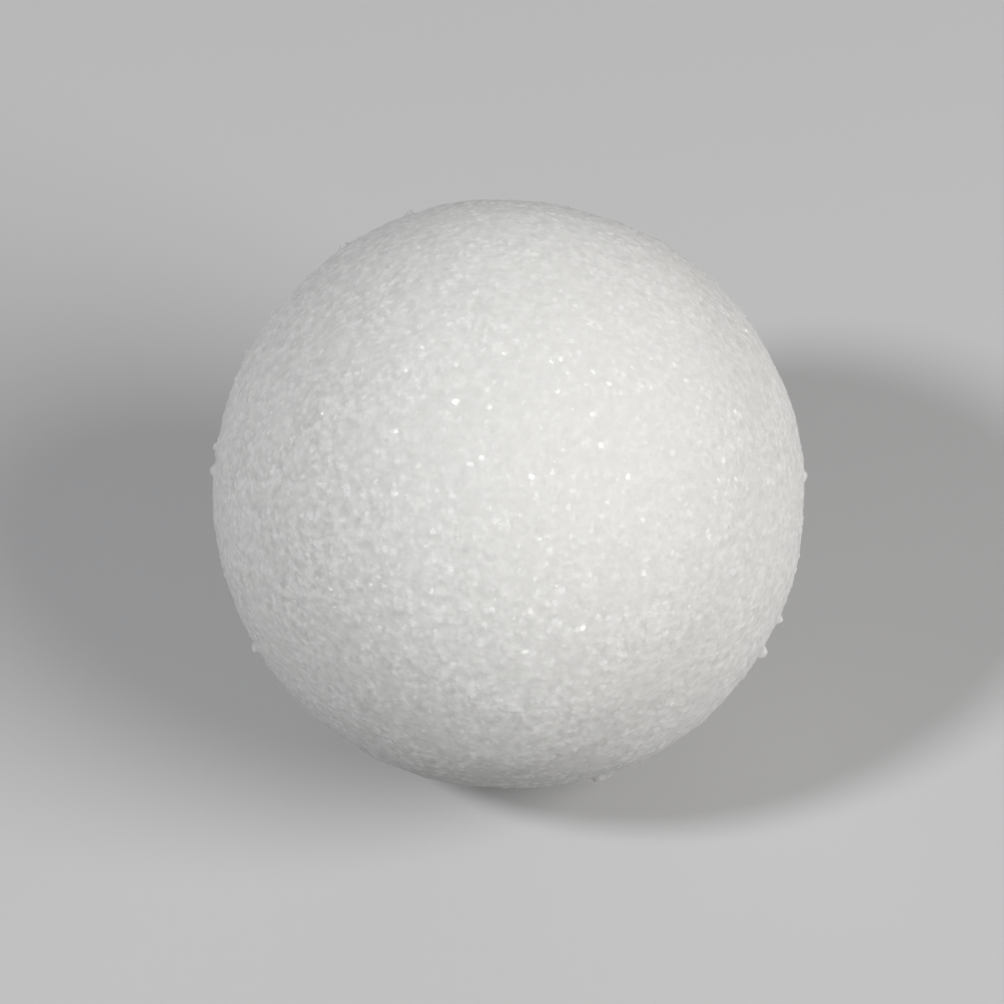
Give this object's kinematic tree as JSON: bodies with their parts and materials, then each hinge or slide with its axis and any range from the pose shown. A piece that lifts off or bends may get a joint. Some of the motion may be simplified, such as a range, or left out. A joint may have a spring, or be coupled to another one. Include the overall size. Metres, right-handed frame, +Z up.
{
  "type": "polystyrene ball",
  "caption": "Solid white polystyrene foam ball with a dry, sugary ground surface, slightly out of round, for crafts.",
  "frame": {"origin": "centre of the ball's round form", "axes": "+Z up and -Y to the front, as the ball lies in the picture; the flattest patch is at the back of the top"},
  "size_m": [0.04, 0.0401, 0.04],
  "materials": {
    "white_foam": "dry, matt, finely grained white polystyrene foam with small bright glints"
  },
  "bodies": {
    "root": {"ball": "white_foam"}
  },
  "joints": []
}
